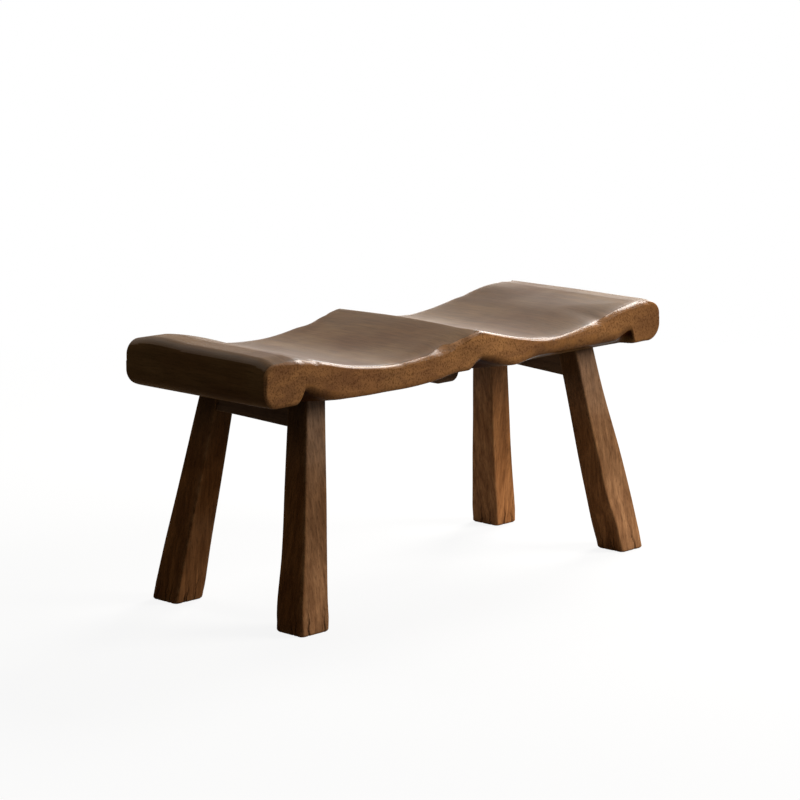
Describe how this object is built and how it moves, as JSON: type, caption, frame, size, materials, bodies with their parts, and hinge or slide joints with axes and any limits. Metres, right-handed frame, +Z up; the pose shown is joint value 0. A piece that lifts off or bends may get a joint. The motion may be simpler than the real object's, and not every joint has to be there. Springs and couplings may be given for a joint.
{
  "type": "wooden stool",
  "caption": "Long low wooden stool: thick carved seat with two saddle hollows and rolled ends on splayed square tapering legs, joined in pairs by an apron.",
  "frame": {"origin": "on the floor under the middle of the seat", "axes": "+X along the seat's length, -Y towards the front long side, +Z up"},
  "size_m": [0.9, 0.3314, 0.415],
  "materials": {
    "seat_wood": "dark brown stain, satin, worn smooth on top",
    "leg_wood": "dark brown stain, low satin, hand-worked faces",
    "rail_wood": "dark brown stain, dull"
  },
  "bodies": {
    "root": {"seat_plank": "seat_wood", "leg_front_left": "leg_wood", "leg_front_right": "leg_wood", "leg_back_left": "leg_wood", "leg_back_right": "leg_wood", "apron_left": "rail_wood", "apron_right": "rail_wood", "centre_batten": "rail_wood"}
  },
  "joints": []
}
